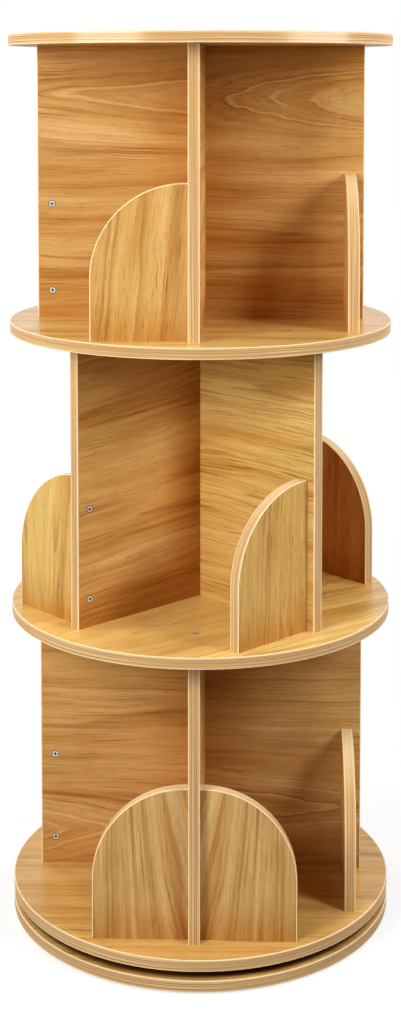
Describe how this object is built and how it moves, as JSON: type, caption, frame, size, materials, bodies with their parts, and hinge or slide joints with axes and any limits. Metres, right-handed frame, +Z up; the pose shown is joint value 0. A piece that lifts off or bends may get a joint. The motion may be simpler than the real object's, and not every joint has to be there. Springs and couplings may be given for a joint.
{
  "type": "rotating media tower",
  "caption": "Tall round tower of wood-grain boards that turns on a ball-bearing base; crossed dividers with low arched stops make open compartments for books and discs.",
  "frame": {"origin": "on the floor, on the turning axis under the middle of the base", "axes": "+Z up along the turning axis; -Y is the front, where the front arm of the upper and lower crosses points; +X to the right seen from the front"},
  "size_m": [0.42, 0.42, 0.9715],
  "materials": {
    "wood_board": "satin wood-grain melamine",
    "edge_band": "wood-grain edge banding",
    "zinc_screw": "bright zinc",
    "ring_aluminium": "mill",
    "ball_steel": "polished",
    "cage_nylon": "natural",
    "pad_foam": "fine-celled foam"
  },
  "bodies": {
    "base": {"base_disc": "wood_board", "base_disc_edge_band": "edge_band", "base_screws": "zinc_screw", "foot_pads": "pad_foam", "turntable_inner_ring": "ring_aluminium"},
    "ball_ring": {"turntable_balls": "ball_steel", "turntable_ball_cage": "cage_nylon"},
    "tower": {"bottom_shelf": "wood_board", "bottom_shelf_edge_band": "edge_band", "bottom_shelf_screws_up": "zinc_screw", "lower_divider_edge_bands": "edge_band", "lower_divider_slot_at_foot": "wood_board", "lower_divider_slot_at_top": "wood_board", "lower_middle_shelf": "wood_board", "lower_middle_shelf_edge_band": "edge_band", "lower_middle_shelf_screws_down": "zinc_screw", "lower_middle_shelf_screws_up": "zinc_screw", "lower_stop_back": "wood_board", "lower_stop_edge_bands": "edge_band", "lower_stop_front": "wood_board", "lower_stop_front_pair": "wood_board", "lower_stop_left": "wood_board", "lower_stop_right": "wood_board", "lower_stop_screws": "zinc_screw", "middle_divider_edge_bands": "edge_band", "middle_divider_slot_at_foot": "wood_board", "middle_divider_slot_at_top": "wood_board", "middle_stop_back_left": "wood_board", "middle_stop_back_right": "wood_board", "middle_stop_edge_bands": "edge_band", "middle_stop_front_left": "wood_board", "middle_stop_front_right": "wood_board", "middle_stop_screws": "zinc_screw", "top_disc": "wood_board", "top_disc_edge_band": "edge_band", "top_disc_screws_down": "zinc_screw", "turntable_outer_ring": "ring_aluminium", "turntable_screws": "zinc_screw", "upper_divider_edge_bands": "edge_band", "upper_divider_slot_at_foot": "wood_board", "upper_divider_slot_at_top": "wood_board", "upper_middle_shelf": "wood_board", "upper_middle_shelf_edge_band": "edge_band", "upper_middle_shelf_screws_down": "zinc_screw", "upper_middle_shelf_screws_up": "zinc_screw", "upper_stop_back": "wood_board", "upper_stop_edge_bands": "edge_band", "upper_stop_front": "wood_board", "upper_stop_left": "wood_board", "upper_stop_right": "wood_board", "upper_stop_screws": "zinc_screw"}
  },
  "joints": [
    {"name": "tower_spin", "type": "hinge", "parent": "base", "child": "tower", "pos_m": [0, 0, 0.01875], "axis": [0, 0, 1], "continuous": true},
    {"name": "ball_ring_spin", "type": "hinge", "parent": "base", "child": "ball_ring", "pos_m": [0, 0, 0.01875], "axis": [0, 0, 1], "continuous": true}
  ],
  "couplings": [
    {"joint": "ball_ring_spin", "follows": "tower_spin", "ratio": 0.5}
  ]
}
